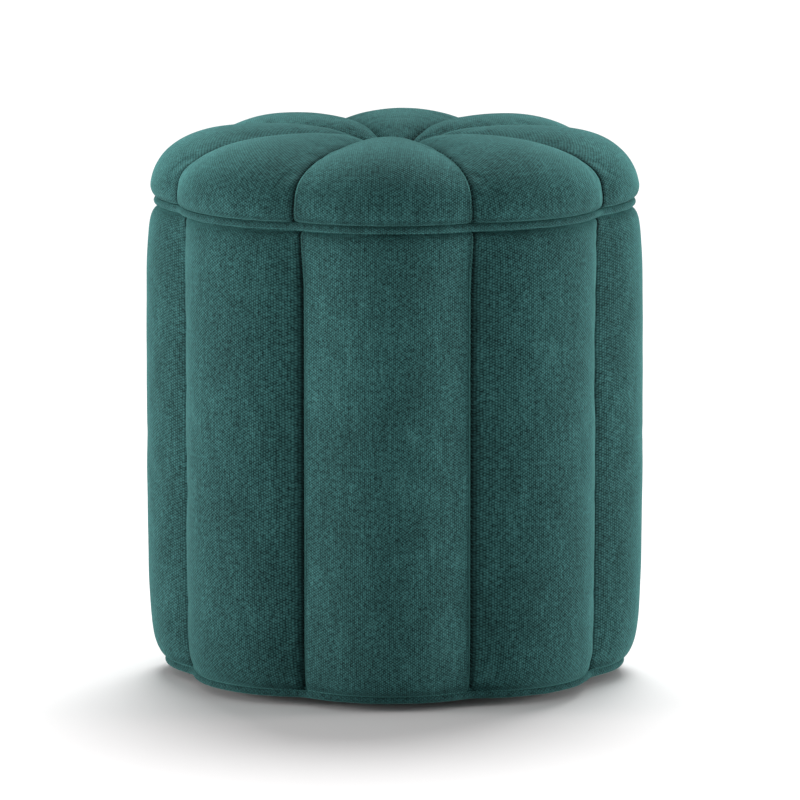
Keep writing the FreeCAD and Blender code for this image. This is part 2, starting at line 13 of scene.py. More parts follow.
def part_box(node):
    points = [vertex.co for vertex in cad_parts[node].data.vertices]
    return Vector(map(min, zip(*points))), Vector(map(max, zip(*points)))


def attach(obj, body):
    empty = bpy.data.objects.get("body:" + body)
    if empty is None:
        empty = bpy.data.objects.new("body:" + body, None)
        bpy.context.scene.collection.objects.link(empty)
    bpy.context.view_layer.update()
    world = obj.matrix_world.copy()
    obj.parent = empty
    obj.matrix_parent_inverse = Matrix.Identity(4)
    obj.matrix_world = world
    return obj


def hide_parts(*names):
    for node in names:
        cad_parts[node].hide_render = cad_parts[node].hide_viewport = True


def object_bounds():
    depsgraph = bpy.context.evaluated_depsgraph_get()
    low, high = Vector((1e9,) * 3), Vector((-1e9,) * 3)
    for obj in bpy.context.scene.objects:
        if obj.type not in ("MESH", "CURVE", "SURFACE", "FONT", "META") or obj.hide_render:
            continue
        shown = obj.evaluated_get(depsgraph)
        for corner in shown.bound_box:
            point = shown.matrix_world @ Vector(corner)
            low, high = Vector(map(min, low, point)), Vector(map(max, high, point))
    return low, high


bl_info = {
    "name": "Scalloped Storage Ottoman",
    "version": (1, 0, 0),
    "blender": (4, 5, 0),
    "location": "View3D > Sidebar > Ottoman",
    "description": "Builds the upholstery, finishes and studio of a round storage ottoman",
    "category": "Object",
}

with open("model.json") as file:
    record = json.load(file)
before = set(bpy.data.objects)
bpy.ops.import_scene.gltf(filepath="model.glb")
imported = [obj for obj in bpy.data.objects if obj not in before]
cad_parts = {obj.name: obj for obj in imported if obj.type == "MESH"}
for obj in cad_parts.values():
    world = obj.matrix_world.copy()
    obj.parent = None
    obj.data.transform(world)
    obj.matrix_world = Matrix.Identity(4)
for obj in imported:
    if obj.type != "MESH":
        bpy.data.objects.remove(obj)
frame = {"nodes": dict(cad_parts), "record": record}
CAD_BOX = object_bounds()
MM = 0.001
LOBES = 8
HALF = math.pi / LOBES
TURN = 2 * math.pi

CREST = CAD_BOX[1].x
TOP = CAD_BOX[1].z
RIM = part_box("rim_band")
LID_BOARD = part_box("lid_board")
BASE_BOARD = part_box("base_board")
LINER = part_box("liner")
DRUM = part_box("drum_wall")
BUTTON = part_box("tuft_button")
LINED_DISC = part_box("disc_lining")
LID_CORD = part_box("lid_piping")
BASE_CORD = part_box("base_piping")
LID_VALLEY = 12.5 * MM          # crest to valley of the lid board and its cord
BASE_VALLEY = 14.5 * MM         # crest to valley of the base board and its cord
FOAM_INSET = 2.6 * MM           # from the fabric's outside to the foam
CLOTH_FRAMES = 16               # the padding settles in this many frames
LOBE_CAP = 1.6 * MM             # how far a point of a lobe may swell
PETAL_CAP = 1.2 * MM            # how far a point of a petal may swell
STAPLE_COUNT = 56


# ---------------------------------------------------------------------------------------------
# Sizes and colours that a user would change
# ---------------------------------------------------------------------------------------------
def length(name, description, default, low=0.0):
    return bpy.props.FloatProperty(name=name, description=description, default=default, min=low,
                                   subtype="DISTANCE", unit="LENGTH", precision=5)


def colour(name, description, default):
    return bpy.props.FloatVectorProperty(name=name, description=description, size=3, min=0,
                                         max=1, default=default, subtype="COLOR")


class OttomanSizes(bpy.types.PropertyGroup):
    lobe_valley: length("Lobe valley", "How far the seams between lobes lie inside the crests",
                        25.5 * MM)
    seam_width: length("Seam width", "Width over which the fabric turns in to a seam", 2.3 * MM)
    seam_depth: length("Seam depth", "How deep a seam draws the fabric in", 2.5 * MM)
    # foot_fold and lid_fold also place the dark stitched line, with painted shade, where the
    # fabric turns behind each cord
    foot_fold: length("Foot fold", "Fabric of a lobe that goes behind the foot cord", 3.0 * MM)
    lid_fold: length("Lid fold", "Fabric of a petal that goes behind the lid cord", 5.4 * MM)
    fabric: length("Fabric", "Thickness of the upholstery fabric", 1.6 * MM)
    rib: length("Rib", "Distance between the fabric's ribs", 1.74 * MM)
    weave: length("Weave", "Repeat of the weave along a rib", 2.31 * MM)
    stitch: length("Stitch", "Length of a stitch and its gap", 4.2 * MM)
    staple: length("Staple", "Length of a staple's crown", 9.5 * MM)
    lid_turn: bpy.props.FloatProperty(name="Lid turn", description="How far the lid lies askew",
                                      default=math.radians(-1.0), subtype="ANGLE")
    swell: bpy.props.FloatProperty(name="Swell", description="Pressure that fills the padding",
                                   default=4.0, min=0.0)


class OttomanColours(bpy.types.PropertyGroup):
    pile: colour("Pile", "Fabric where the pile faces the eye", (0.0455, 0.1580, 0.1545))
    # pile_dark also colours the painted shade along the seams and the fold lines
    pile_dark: colour("Pile shade", "Fabric in the hollows of the weave", (0.0010, 0.0085, 0.0090))
    pile_light: colour("Pile tips", "Fabric where the pile is brushed light",
                       (0.060, 0.170, 0.163))
    lining: colour("Lining", "Cloth inside the drum", (0.045, 0.047, 0.050))
    board: colour("Board", "Plywood of the boards", (0.42, 0.27, 0.145))
    fibreboard: colour("Fibreboard", "Bent wall of the drum", (0.20, 0.115, 0.055))
    pine: colour("Pine", "Upright posts", (0.50, 0.33, 0.165))
    foam: colour("Foam", "Padding under the fabric", (0.62, 0.55, 0.36))
    dust: colour("Dust cloth", "Black cloth under the base", (0.010, 0.010, 0.011))
    nylon: colour("Nylon", "Glides and washer", (0.016, 0.016, 0.017))
    zinc: colour("Zinc", "Screws, nails and staples", (0.55, 0.55, 0.56))
    twine: colour("Twine", "Waxed twine of the button", (0.38, 0.33, 0.25))
    floor: colour("Floor", "Studio floor", (0.94, 0.94, 0.94))


def sizes():
    return bpy.context.scene.ottoman_sizes


def colours():
    return bpy.context.scene.ottoman_colours


# ---------------------------------------------------------------------------------------------
# Shader maths
# ---------------------------------------------------------------------------------------------
class Wire:
    """An output socket; Python's operators on it add Math nodes to its material."""

    def __init__(self, finish, socket):
        self.finish = finish
        self.socket = socket

    def maths(self, operation, *inputs):
        return self.finish.node("ShaderNodeMath", {"operation": operation},
                                dict(enumerate(inputs)))

    def __add__(self, other):
        return self.maths("ADD", self, other)

    def __radd__(self, other):
        return self.maths("ADD", other, self)

    def __sub__(self, other):
        return self.maths("SUBTRACT", self, other)

    def __rsub__(self, other):
        return self.maths("SUBTRACT", other, self)

    def __mul__(self, other):
        return self.maths("MULTIPLY", self, other)

    def __rmul__(self, other):
        return self.maths("MULTIPLY", other, self)

    def sine(self):
        return self.maths("SINE", self)

    def power(self, exponent):
        return self.maths("POWER", self, exponent)

    def absolute(self):
        return self.maths("ABSOLUTE", self)

    def at_most(self, other):
        return self.maths("MINIMUM", self, other)

    def at_least(self, other):
        return self.maths("MAXIMUM", self, other)

    def ramp(self, low, high):
        """0 at low and 1 at high, eased at both ends."""
        return self.finish.node(
            "ShaderNodeMapRange", {"interpolation_type": "SMOOTHSTEP"},
            {"Value": self, "From Min": low, "From Max": high, "To Min": 0.0, "To Max": 1.0})

    def parts(self):
        split = self.finish.node("ShaderNodeSeparateXYZ", {}, {0: self}).socket.node
        return [Wire(self.finish, output) for output in split.outputs]


class Finish:
    """A material under construction."""

    def __init__(self, name, constants=None):
        self.material = bpy.data.materials.new(name)
        self.material.use_nodes = True
        self.tree = self.material.node_tree
        self.shader = self.tree.nodes["Principled BSDF"]
        for key, setting in (constants or {}).items():
            self.shader.inputs[key].default_value = setting

    def node(self, kind, settings, inputs, output=0):
        made = self.tree.nodes.new(kind)
        for key, setting in settings.items():
            setattr(made, key, setting)
        for key, given in inputs.items():
            if isinstance(given, Wire):
                self.tree.links.new(given.socket, made.inputs[key])
            else:
                made.inputs[key].default_value = given
        return Wire(self, made.outputs[output])

    def place(self):
        """Object coordinates."""
        return self.node("ShaderNodeTexCoord", {}, {}, "Object")

    def cloth(self):
        """Metres across and along the cloth, from the piece's own map."""
        return self.node("ShaderNodeUVMap", {"uv_map": "Cloth"}, {}).parts()[:2]

    def stretched(self, vector, scale):
        return self.node("ShaderNodeMapping", {}, {"Vector": vector, "Scale": scale})

    def cloud(self, vector, scale, detail=2.0, roughness=0.5, distortion=0.0):
        return self.node("ShaderNodeTexNoise", {}, {
            "Vector": vector, "Scale": scale, "Detail": detail, "Roughness": roughness,
            "Distortion": distortion})

    def cells(self, vector, scale):
        return self.node("ShaderNodeTexVoronoi", {}, {"Vector": vector, "Scale": scale})

    def joined(self, x, y, z=0.0):
        return self.node("ShaderNodeCombineXYZ", {}, {0: x, 1: y, 2: z})

    def mix(self, share, first, second):
        def shade(given):
            return given if isinstance(given, Wire) else (*given, 1.0)

        return self.node("ShaderNodeMix", {"data_type": "RGBA"},
                         {0: share, 6: shade(first), 7: shade(second)}, 2)

    def bump(self, height, depth, strength):
        return self.node("ShaderNodeBump", {},
                         {"Height": height, "Distance": depth, "Strength": strength})

    def feed(self, **inputs):
        """Links the shader's varying inputs, named with _ for a space."""
        for key, wire in inputs.items():
            self.tree.links.new(wire.socket, self.shader.inputs[key.replace("_", " ")])
        return self.material


def upholstery(name, stitched_with_seam_shade, deep=1.0):
    """Ribbed chenille, brushed light and dark, with stitch dots and painted shade at its seams; a
    deep below 1 darkens it all as painted shade.
    """
    size, tint = sizes(), colours()
    make = Finish(name, {"Sheen Weight": 0.39, "Sheen Roughness": 0.40,
                         "Sheen Tint": (0.30, 0.95, 0.91, 1.0), "Specular IOR Level": 0.12,
                         "IOR": 1.45})
    across, along = make.cloth()
    place = make.place()
    flat = make.joined(across, along)
    wander = (make.cloud(flat, 110.0, 3.0) - 0.5) * (size.rib * 0.8)
    warp = ((across + wander) * (math.pi / size.rib)).sine()
    weft = ((along + wander) * (TURN / size.weave)).sine()
    diamond = (warp * weft * 0.5 + 0.5).power(0.7)
    ribs = warp * warp
    yarn = make.cloud(make.stretched(flat, (1.0, 0.7, 1.0)), 430.0, 3.0, 0.65)
    slub = make.cloud(make.stretched(flat, (1.0, 0.12, 1.0)), 210.0, 2.0, 0.6)
    patch = make.cloud(place, 15.0, 3.0, 0.5, 0.3)
    brushed = make.cloud(make.stretched(place, (1.0, 1.0, 0.6)), 85.0, 3.0, 0.6, 0.2)
    fluff = make.cloud(place, 1500.0, 1.0)
    threads = diamond * 0.64 + ribs * 0.30
    weave = (threads + 0.07 + (yarn - 0.5) * 1.7).at_least(0.0).at_most(1.0)
    tone = (patch - 0.5) * 0.55 + (brushed - 0.5) * 0.62 + (slub - 0.5) * 0.55
    ground = make.mix(weave.power(1.4), tint.pile_dark, tint.pile)
    ground = make.mix(tone.ramp(0.0, 0.5) * 0.3, ground, tint.pile_light)
    # a deep below 1 darkens the whole colour: painted shade, used for the cords' copy of the
    # chenille
    ground = make.node("ShaderNodeVectorMath", {"operation": "SCALE"},
                       {0: ground, "Scale": ((tone * 1.1 + 1.0) * deep).at_least(0.3)})
    height = threads * 0.9 + yarn * 0.35 + fluff * 0.12 + slub * 0.15
    if stitched_with_seam_shade:
        # near seams and fold lines the colour gets stitch dots and painted shade
        apart = make.node("ShaderNodeAttribute", {"attribute_name": "seam"}, {}, "Fac")
        beat = ((along + across) * (TURN / size.stitch)).sine().ramp(-0.25, 0.45)
        groove = 1.0 - apart.ramp(0.45 * MM, 2.1 * MM)
        # painted shade: within 6.5 mm of a seam the fabric is darkened towards pile_dark
        shaded = 1.0 - apart.ramp(0.8 * MM, 6.5 * MM)
        ground = make.mix(shaded * 0.5, ground, tint.pile_dark)
        # painted shade along the seam groove, darker in dots where the stitches are
        ground = make.mix(groove * (0.62 + 0.36 * beat), ground, [c * 0.3 for c in tint.pile_dark])
        height = height - groove * (0.8 + beat)
    rough = 0.86 + (yarn - 0.5) * 0.16
    return make.feed(Base_Color=ground, Roughness=rough,
                     Normal=make.bump(height, 0.55 * MM, 0.75))


def nonwoven(name, shade, pitch):
    """Pressed cloth: a grid of small dents over matted fibres."""
    make = Finish(name, {"Sheen Weight": 0.15, "Sheen Roughness": 0.5,
                         "Specular IOR Level": 0.25})
    place = make.place()
    x, y, z = place.parts()
    k = TURN / pitch
    dents = ((x + z) * k).sine() * ((y - z) * k).sine() * 0.5 + 0.5
    fibres = make.cloud(make.stretched(place, (1.0, 1.0, 0.3)), 900.0, 3.0, 0.7, 1.2)
    cloudy = make.cloud(place, 40.0, 3.0)
    tone = (fibres * 0.6 + cloudy * 0.5 - 0.1).at_least(0.0).at_most(1.0)
    base = make.mix(tone, [c * 0.55 for c in shade], [min(1, c * 1.6) for c in shade])
    base = make.mix(dents.ramp(0.6, 0.95) * 0.35, base, [c * 0.5 for c in shade])
    return make.feed(Base_Color=base, Roughness=0.8 + fibres * 0.15,
                     Normal=make.bump(fibres * 0.5 - dents.ramp(0.6, 0.95), 0.25 * MM, 0.6))


def plywood(name, shade, sawn):
    """Birch board: long grain on the faces and thin plies round the edge."""
    make = Finish(name, {"Specular IOR Level": 0.35})
    place = make.place()
    z = place.parts()[2]
    grain = make.cloud(make.stretched(place, (1.0, 14.0, 14.0)), 9.0, 5.0, 0.62, 0.6)
    pores = make.cloud(make.stretched(place, (1.0, 26.0, 26.0)), 60.0, 2.0)
    plies = (z * (TURN / (3.0 * MM))).sine().ramp(-0.2, 0.3)
    steep = make.node("ShaderNodeNewGeometry", {}, {}, "Normal").parts()[2].absolute()
    edge = 1.0 - steep.ramp(0.3, 0.6)
    base = make.mix(grain.ramp(0.3, 0.72), [c * 0.72 for c in shade], [c * 1.12 for c in shade])
    base = make.mix(pores.ramp(0.58, 0.75) * 0.4, base, [c * 0.45 for c in shade])
    base = make.mix(edge * plies * 0.6, base, [c * 0.4 for c in shade])
    return make.feed(Base_Color=base, Roughness=sawn + grain * 0.2,
                     Normal=make.bump(grain * 0.4 - pores.ramp(0.58, 0.75), 0.2 * MM, 0.5))


def pressed_board(name, shade):
    """Brown fibreboard with short flecks."""
    make = Finish(name, {"Specular IOR Level": 0.3})
    place = make.place()
    flecks = make.cloud(make.stretched(place, (1.0, 1.0, 2.4)), 420.0, 4.0, 0.72, 1.5)
    cloudy = make.cloud(place, 14.0, 2.0)
    base = make.mix(flecks.ramp(0.3, 0.7), [c * 0.6 for c in shade], [c * 1.35 for c in shade])
    base = make.mix(cloudy * 0.3, base, [c * 0.7 for c in shade])
    return make.feed(Base_Color=base, Roughness=0.62 + flecks * 0.25,
                     Normal=make.bump(flecks, 0.15 * MM, 0.5))


def pine_wood(name, shade):
    """Sawn softwood with its grain upright."""
    make = Finish(name, {"Specular IOR Level": 0.35})
    place = make.place()
    rings = make.cloud(make.stretched(place, (9.0, 9.0, 0.35)), 14.0, 4.0, 0.55, 0.8)
    bands = (rings * 46.0).sine() * 0.5 + 0.5
    fine = make.cloud(make.stretched(place, (30.0, 30.0, 1.0)), 30.0, 2.0)
    base = make.mix(bands.ramp(0.2, 0.9), [min(1, c * 1.1) for c in shade],
                    [c * 0.68 for c in shade])
    base = make.mix(fine * 0.3, base, [c * 0.6 for c in shade])
    return make.feed(Base_Color=base, Roughness=0.55 + fine * 0.25,
                     Normal=make.bump(bands * 0.4 + fine, 0.12 * MM, 0.5))


def open_foam(name, shade):
    """Cut foam with small open cells."""
    make = Finish(name, {"Specular IOR Level": 0.2, "Sheen Weight": 0.1})
    place = make.place()
    pores = make.cells(place, 700.0)
    lumps = make.cloud(place, 120.0, 3.0)
    base = make.mix(pores.ramp(0.1, 0.7), [c * 0.6 for c in shade], shade)
    base = make.mix(lumps * 0.25, base, [c * 0.75 for c in shade])
    return make.feed(Base_Color=base, Roughness=0.9 + lumps * 0.08,
                     Normal=make.bump(pores + lumps * 0.5, 0.5 * MM, 0.6))


def moulded(name, shade):
    """Moulded nylon with a faint orange peel."""
    make = Finish(name, {"Specular IOR Level": 0.45})
    place = make.place()
    peel = make.cloud(place, 900.0, 2.0)
    scuffs = make.cloud(make.stretched(place, (1.0, 6.0, 1.0)), 160.0, 3.0, 0.7)
    base = make.mix(scuffs.ramp(0.55, 0.8) * 0.5, shade, [c * 2.6 for c in shade])
    return make.feed(Base_Color=base, Roughness=0.42 + scuffs * 0.2,
                     Normal=make.bump(peel, 0.05 * MM, 0.5))


def plated(name, shade):
    """Zinc plate, faintly clouded and scratched."""
    make = Finish(name, {"Metallic": 1.0})
    place = make.place()
    cloudy = make.cloud(place, 220.0, 4.0, 0.6, 1.0)
    scratch = make.cloud(make.stretched(place, (1.0, 30.0, 1.0)), 300.0, 2.0)
    base = make.mix(cloudy, [c * 0.75 for c in shade], [min(1, c * 1.2) for c in shade])
    return make.feed(Base_Color=base, Roughness=0.28 + cloudy * 0.18 + scratch * 0.08,
                     Normal=make.bump(scratch, 0.02 * MM, 0.5))


def twisted(name, shade):
    """Waxed twine."""
    make = Finish(name, {"Specular IOR Level": 0.4})
    place = make.place()
    x, y, z = place.parts()
    strands = ((z * 1.6 + x + y) * (TURN / (1.5 * MM))).sine() * 0.5 + 0.5
    fuzz = make.cloud(place, 2600.0, 2.0)
    base = make.mix(strands, [c * 0.6 for c in shade], shade)
    return make.feed(Base_Color=base, Roughness=0.6 + fuzz * 0.3,
                     Normal=make.bump(strands + fuzz * 0.3, 0.2 * MM, 0.8))


def matt_floor(name, shade):
    """Seamless paper."""
    make = Finish(name, {"Specular IOR Level": 0.05})
    place = make.place()
    tooth = make.cloud(place, 300.0, 3.0)
    base = make.mix(tooth, [c * 0.992 for c in shade], shade)
    return make.feed(Base_Color=base, Roughness=0.9 + tooth * 0.05,
                     Normal=make.bump(tooth, 0.02 * MM, 0.2))


# ---------------------------------------------------------------------------------------------
# Shapes
# ---------------------------------------------------------------------------------------------
def outline(angle, crest, valley, soft=0.0):
    """Distance from the middle to a ring of arcs, at an angle. soft rounds the valleys off."""
    lobe = (angle + math.pi / 2 + HALF) % (2 * HALF) - HALF
    share = abs(lobe) / HALF
    if soft:
        share = 1.0 - math.sqrt((1.0 - share) ** 2 + soft ** 2)
    turned = share * HALF
    offset = (crest ** 2 - valley ** 2) / (2 * (crest - valley * math.cos(HALF)))
    across = offset * math.sin(turned)
    return offset * math.cos(turned) + math.sqrt((crest - offset) ** 2 - across ** 2)


def swing(angle, crest, valley):
    """0 on a crest, 1 in a valley, along the arc between them."""
    return (crest - outline(angle, crest, valley)) / (crest - valley)


def smooth_line(points, count):
    """A smooth line through the points, as count points evenly spaced along it."""
    rows = [Vector(p).to_3d() for p in points]
    rows = [2 * rows[0] - rows[1]] + rows + [2 * rows[-1] - rows[-2]]
    fine = []
    for a, b, c, d in zip(rows, rows[1:], rows[2:], rows[3:]):
        for step in range(12):
            t = step / 12
            fine.append(0.5 * (2 * b + (c - a) * t + (2 * a - 5 * b + 4 * c - d) * t ** 2
                               + (3 * b - a - 3 * c + d) * t ** 3))
    fine.append(rows[-2])
    run = [0.0]
    for a, b in zip(fine, fine[1:]):
        run.append(run[-1] + (b - a).length)
    spaced, here = [], 0
    for number in range(count):
        want = run[-1] * number / (count - 1)
        while here < len(fine) - 2 and run[here + 1] < want:
            here += 1
        span = max(run[here + 1] - run[here], 1e-9)
        spaced.append(fine[here].lerp(fine[here + 1], (want - run[here]) / span))
    return spaced, run[-1]


def spun(line, arc, steps, closed=False):
    """A bmesh: an upright line of (radius, height), spun about +Z from -arc/2 to +arc/2.

    The layer "row" holds each vertex's place along the line.
    """
    work = bmesh.new()
    row = work.verts.layers.float.new("row")
    start = Matrix.Rotation(0.0 if closed else -arc / 2, 3, "Z")
    line_verts = []
    for number, point in enumerate(line):
        vert = work.verts.new(start @ Vector((point.x, 0.0, point.y)))
        vert[row] = number
        line_verts.append(vert)
    edges = [work.edges.new(pair) for pair in zip(line_verts, line_verts[1:])]
    bmesh.ops.spin(work, geom=line_verts + edges, cent=(0, 0, 0), axis=(0, 0, 1), angle=arc,
                   steps=steps, use_merge=closed)
    bmesh.ops.recalc_face_normals(work, faces=work.faces)
    return work


def map_cloth(work, across, along):
    """Gives every face corner its place on the flat cloth."""
    layer = work.loops.layers.uv.new("Cloth")
    for face in work.faces:
        for loop in face.loops:
            loop[layer].uv = (across[loop.vert.index], along[loop.vert.index])


def unwrap_step(work, period):
    """Keeps the map whole where a full turn closes."""
    layer = work.loops.layers.uv["Cloth"]
    for face in work.faces:
        low = min(loop[layer].uv.x for loop in face.loops)
        for loop in face.loops:
            if loop[layer].uv.x - low > period / 2:
                loop[layer].uv.x -= period


def to_object(work, name, material):
    mesh = bpy.data.meshes.new(name)
    for face in work.faces:
        face.smooth = True
    work.to_mesh(mesh)
    work.free()
    piece = bpy.data.objects.new(name, mesh)
    bpy.context.scene.collection.objects.link(piece)
    mesh.materials.append(material)
    return piece


def modifier(piece, kind, **settings):
    made = piece.modifiers.new(kind.title().replace("_", " "), kind)
    for key, setting in settings.items():
        setattr(made, key, setting)
    return made


def outward(piece, point_in):
    """Turns the faces so that they look away from a point inside the padding."""
    work = bmesh.new()
    work.from_mesh(piece.data)
    work.faces.ensure_lookup_table()
    total = sum((face.calc_center_median() - point_in).dot(face.normal) * face.calc_area()
                for face in work.faces)
    if total < 0:
        bmesh.ops.reverse_faces(work, faces=work.faces)
    work.to_mesh(piece.data)
    work.free()


def puff(piece, pressure, cap, slack):
    """Fills the piece with pressure, its group "Held" pinned, and keeps the shape it takes.

    cap is how far a point may move, and slack the share that the fabric is cut over size.
    """
    scene = bpy.context.scene
    rest = [vert.co.copy() for vert in piece.data.vertices]
    cloth = piece.modifiers.new("Cloth", "CLOTH")
    cloth.settings.quality = 5
    cloth.settings.mass = 0.25
    cloth.settings.tension_stiffness = 18.0
    cloth.settings.compression_stiffness = 8.0
    cloth.settings.shear_stiffness = 6.0
    cloth.settings.bending_stiffness = 1.2
    cloth.settings.vertex_group_mass = "Held"
    cloth.settings.shrink_min = -slack
    cloth.settings.use_pressure = True
    cloth.settings.uniform_pressure_force = pressure
    cloth.settings.effector_weights.gravity = 0.0
    cloth.collision_settings.use_collision = False
    cloth.point_cache.frame_start = 1
    cloth.point_cache.frame_end = CLOTH_FRAMES
    for number in range(1, CLOTH_FRAMES + 1):
        scene.frame_set(number)
    posed = piece.evaluated_get(bpy.context.evaluated_depsgraph_get())
    shape = posed.to_mesh()
    moved = [vert.co.copy() for vert in shape.vertices]
    posed.to_mesh_clear()
    piece.modifiers.remove(cloth)
    scene.frame_set(1)
    most = 0.0
    for vert, before, after in zip(piece.data.vertices, rest, moved):
        step = after - before
        if not math.isfinite(step.length):
            raise RuntimeError(f"the padding of {piece.name} burst")
        most = max(most, step.length)
        vert.co = before + step * (cap / (cap + step.length))
    print(f"{piece.name}: largest swell {most * 1000:.1f} mm before the cap")


def numbered(piece, name, number, unevenness, askew=0.0):
    """A copy of a piece turned to its own place, with its own slight unevenness."""
    turn = Matrix.Rotation(-math.pi / 2 + 2 * HALF * number + askew, 4, "Z")
    mesh = piece.data.copy()
    mesh.transform(turn)
    copy = bpy.data.objects.new(f"{name}_{number + 1}", mesh)
    bpy.context.scene.collection.objects.link(copy)
    mesh.name = copy.name
    held = piece.vertex_groups["Held"].index
    normals = [vert.normal.copy() for vert in mesh.vertices]
    for vert, normal in zip(mesh.vertices, normals):
        if any(group.group == held and group.weight > 0.5 for group in vert.groups):
            continue
        seed = vert.co * 13.0 + Vector((number * 3.1, 0.0, 0.0))
        ripple = noise.noise(seed) + 0.45 * noise.noise(vert.co * 34.0)
        vert.co += normal * (ripple * unevenness)
    mesh.update()
    return copy


def finish_panel(piece, body, node):
    modifier(piece, "SUBSURF", levels=1, render_levels=1)
    modifier(piece, "SOLIDIFY", thickness=sizes().fabric, offset=-1.0)
    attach(piece, body)
    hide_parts(node)


# ---------------------------------------------------------------------------------------------
# Upholstered panels
# ---------------------------------------------------------------------------------------------
def lobe_lines():
    """A lobe's upright lines on its crest and in its valley: radius and height."""
    deep = sizes().lobe_valley / MM
    low, high = BASE_CORD[1].z / MM, RIM[1].z / MM
    rows = [(low - 0.6, 15.2, 29.8), (low + 2.0, 11.6, 28.2), (low + 11.5, 6.4, 26.8),
            (low + 24.0, 3.6, 26.0), (low + 45.0, 1.7, deep), (low + 82.0, 0.4, deep),
            (150.0, 0.0, deep), (240.0, 0.0, deep), (high - 85.0, 0.0, deep),
            (high - 50.0, 0.3, deep - 0.2), (high - 28.0, 1.1, deep - 1.0),
            (high - 12.0, 2.5, deep - 2.6), (high - 3.6, 4.9, deep - 3.8),
            (high + 0.6, 9.0, deep - 2.4), (high + 0.9, 15.0, deep + 1.0),
            (high - 0.2, 30.0, deep + 10.0)]
    crest = [(CREST - inset * MM, z * MM) for z, inset, _ in rows]
    valley = [(CREST - inset * MM, z * MM) for z, _, inset in rows]
    return crest, valley


def petal_lines():
    """A petal's upright lines on its crest and in its valley, from the button to the cord."""
    edge = LID_CORD[1].x + 2.0 * MM
    crest = [(5.0, -27.0), (14.0, -23.5), (27.0, -15.0), (52.0, -6.0), (84.0, -2.4),
             (118.0, -2.5), (144.0, -4.6), (162.0, -8.6), (176.5, -15.2), (188.5, -25.2),
             (196.0, -37.0), (199.3, -49.0), (199.2, -54.0), (197.9, -58.2), (195.2, -60.2),
             (191.0, -60.6)]
    valley = [(5.0, -29.0), (13.0, -27.0), (27.0, -19.6), (54.0, -11.6), (87.0, -9.2),
              (117.0, -10.4), (139.0, -13.6), (155.0, -17.6), (168.0, -22.8), (178.0, -29.2),
              (184.0, -37.5), (186.4, -49.0), (186.4, -54.0), (185.6, -58.2), (183.6, -60.2),
             (180.0, -60.6)]
    widest = max(r for r, _ in crest)

    def placed(line):
        return [(r * MM + edge - widest * MM if r > 100 else r * MM, TOP + z * MM)
                for r, z in line]

    return placed(crest), placed(valley)


def panel(name, lines, arc_pair, count, steps, side, drawn, fold):
    """A fabric panel from valley to valley, facing +X.

    side is 1 where the lines run up and -1 where they run down, drawn gives how deep the seams
    pull in at a share of the way along the lines, and fold is the fabric behind the cord, the
    place where a stitched line with painted shade is drawn.
    """
    size = sizes()
    crest, long = smooth_line(lines[0], count)
    valley, _ = smooth_line(lines[1], count)
    work = spun(crest, 2 * HALF, steps)
    row = work.verts.layers.float["row"]
    seam = work.verts.layers.float.new("seam")
    work.verts.index_update()
    across, along, held = {}, {}, []
    for vert in work.verts:
        number = int(round(vert[row]))
        angle = math.atan2(vert.co.y, vert.co.x)
        share = swing(angle - math.pi / 2, *arc_pair)
        here = crest[number].lerp(valley[number], share)
        before = crest[max(number - 1, 0)].lerp(valley[max(number - 1, 0)], share)
        after_row = min(number + 1, count - 1)
        after = crest[after_row].lerp(valley[after_row], share)
        slope = (after - before).normalized()
        normal = Vector((slope.y, -slope.x)) * side
        apart = here.x * math.sin(HALF - abs(angle))
        pull = drawn(number / (count - 1)) * math.exp(-(apart / size.seam_width) ** 2)
        place = Vector((here.x, here.y)) - normal * pull
        vert.co = Vector((place.x * math.cos(angle), place.x * math.sin(angle), place.y))
        edge = long * ((count - 1 - number) if side < 0 else number) / (count - 1)
        # distance to the nearest seam or fold line, near which the colour gets painted shade and
        # stitch dots
        vert[seam] = min(apart, abs(edge - fold))
        across[vert.index] = here.x * angle * 1.06
        along[vert.index] = long * number / (count - 1)
        if apart < 0.4 * MM or number in (0, count - 1):
            held.append(vert.index)
    map_cloth(work, across, along)
    piece = to_object(work, name, bpy.data.materials["chenille"])
    outward(piece, Vector((0.1, 0.0, 0.2)))
    piece.vertex_groups.new(name="Held").add(held, 1.0, "REPLACE")
    return piece


def foam_block(name, lines, arc_pair, back):
    """Foam that fills a panel, facing +X; back is the (radius, height) line behind it."""
    count, steps = 40, 16
    crest, _ = smooth_line(lines[0], count)
    valley, _ = smooth_line(lines[1], count)
    loop = crest + [Vector(p).to_3d() for p in back] + [crest[0]]
    domed = lines[0][0][0] < 50 * MM
    work = spun(loop, 2 * HALF * 0.995, steps)
    row = work.verts.layers.float["row"]
    for vert in work.verts:
        number = int(round(vert[row]))
        angle = math.atan2(vert.co.y, vert.co.x)
        if number == len(loop) - 1:
            number = 0
        if number < count:
            here = crest[number].lerp(valley[number], swing(angle - math.pi / 2, *arc_pair))
            apart = here.x * math.sin(HALF - abs(angle))
            near = math.exp(-(apart / (2.2 * sizes().seam_width)) ** 2)
            inset = FOAM_INSET * (1.0 + 2.4 * near)
            radius = here.x * (1.0 - inset / CREST)
            level = here.y - (inset if domed else 0.0)
            level = max(level, loop[count].y)
            vert.co = Vector((radius * math.cos(angle), radius * math.sin(angle), level))
    bmesh.ops.remove_doubles(work, verts=work.verts, dist=1e-6)
    bmesh.ops.holes_fill(work, edges=[e for e in work.edges if e.is_boundary], sides=0)
    bmesh.ops.recalc_face_normals(work, faces=work.faces)
    piece = to_object(work, name, bpy.data.materials["cut_foam"])
    piece.vertex_groups.new(name="Held")
    return piece


